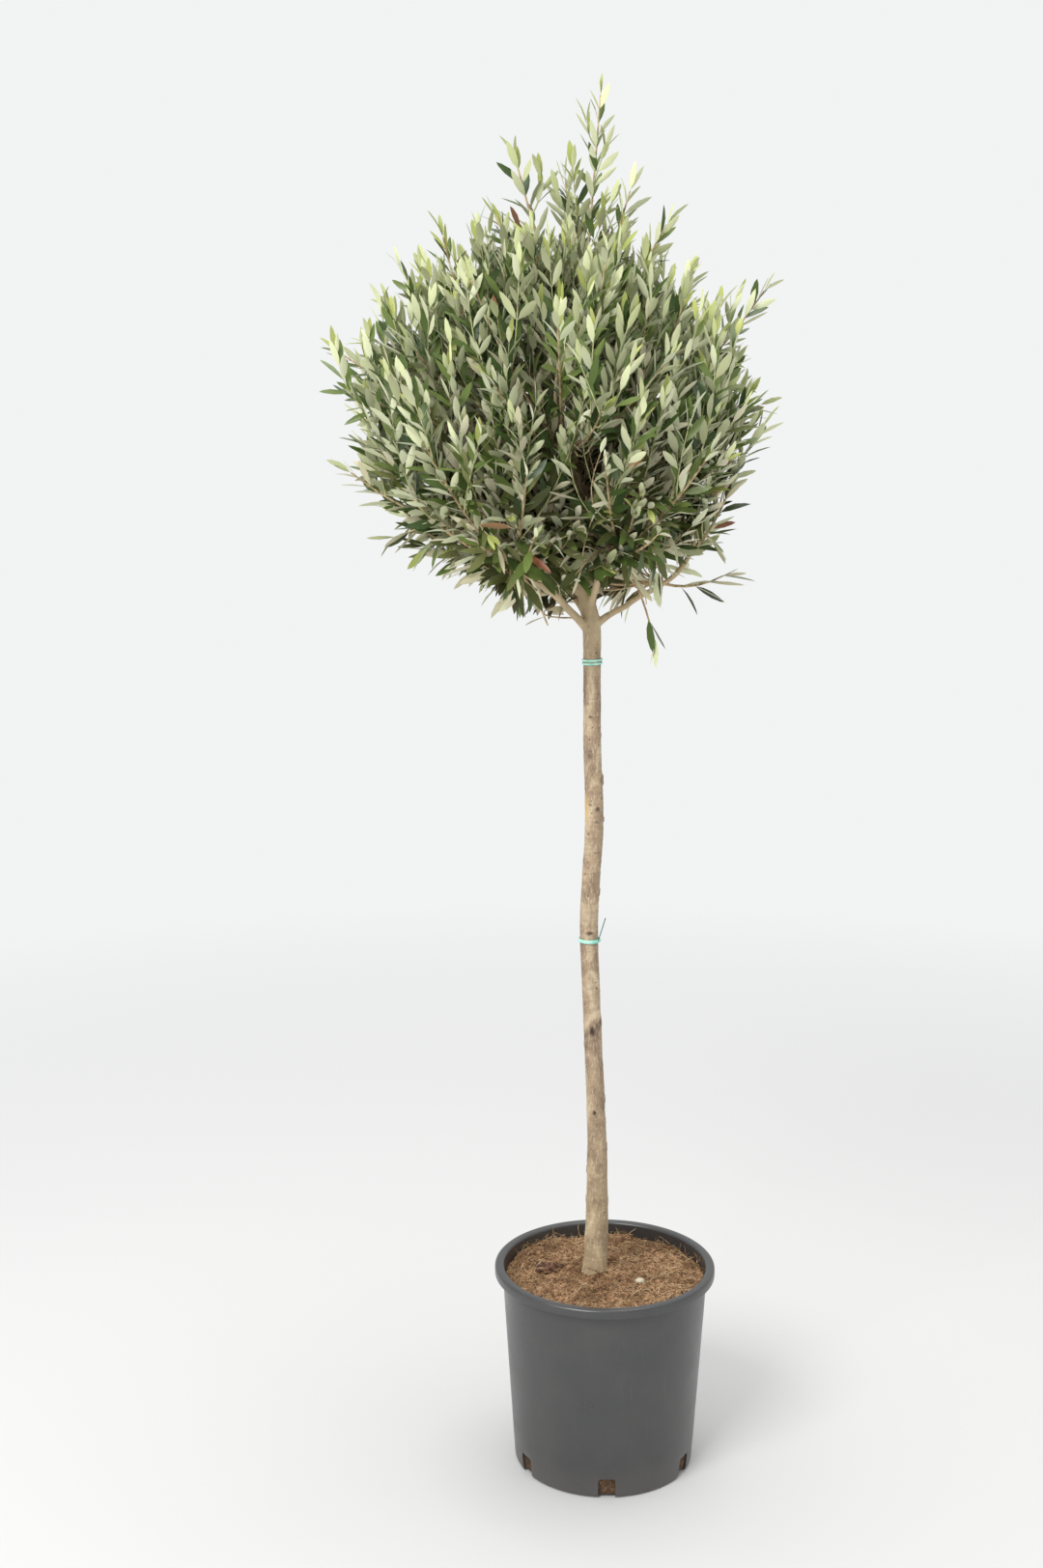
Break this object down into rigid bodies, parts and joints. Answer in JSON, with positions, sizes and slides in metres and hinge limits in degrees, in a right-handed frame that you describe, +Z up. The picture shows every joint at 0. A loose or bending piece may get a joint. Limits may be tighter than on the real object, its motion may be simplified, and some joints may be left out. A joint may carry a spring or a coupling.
{
  "type": "potted olive tree",
  "caption": "Olive tree grown as a standard in a round plastic nursery pot: a bare stem, forked boughs and a rounded crown of upright leafy shoots.",
  "frame": {"origin": "centre of the pot's flat underside", "axes": "+Z up along the stem, -Y towards the viewer of the picture, +X to the viewer's right"},
  "size_m": [0.5865, 0.5419, 1.9277],
  "materials": {
    "pot_plastic": "blow-moulded dark grey nursery pot, slightly satin and scuffed",
    "soil": "fibrous brown potting soil",
    "bark": "smooth pale young bark with knots",
    "foliage": "leathery grey-green leaves, silvery below",
    "tie_plastic": "soft mint-green tying tube"
  },
  "bodies": {
    "root": {"pot": "pot_plastic", "soil": "soil", "trunk": "bark", "leader": "bark", "bough_left": "bark", "bough_front_left": "bark", "bough_front_right": "bark", "bough_right": "bark", "bough_back_right": "bark", "bough_back_left": "bark", "bough_left_high": "bark", "bough_right_high": "bark", "bough_front_high": "bark", "bough_back_high": "bark", "crown_left": "foliage", "crown_front_left": "foliage", "crown_front_right": "foliage", "crown_right": "foliage", "crown_back_right": "foliage", "crown_back_left": "foliage", "crown_left_high": "foliage", "crown_right_high": "foliage", "crown_front_high": "foliage", "crown_back_high": "foliage", "crown_top": "foliage", "tie_lower": "tie_plastic", "tie_upper": "tie_plastic"}
  },
  "joints": []
}
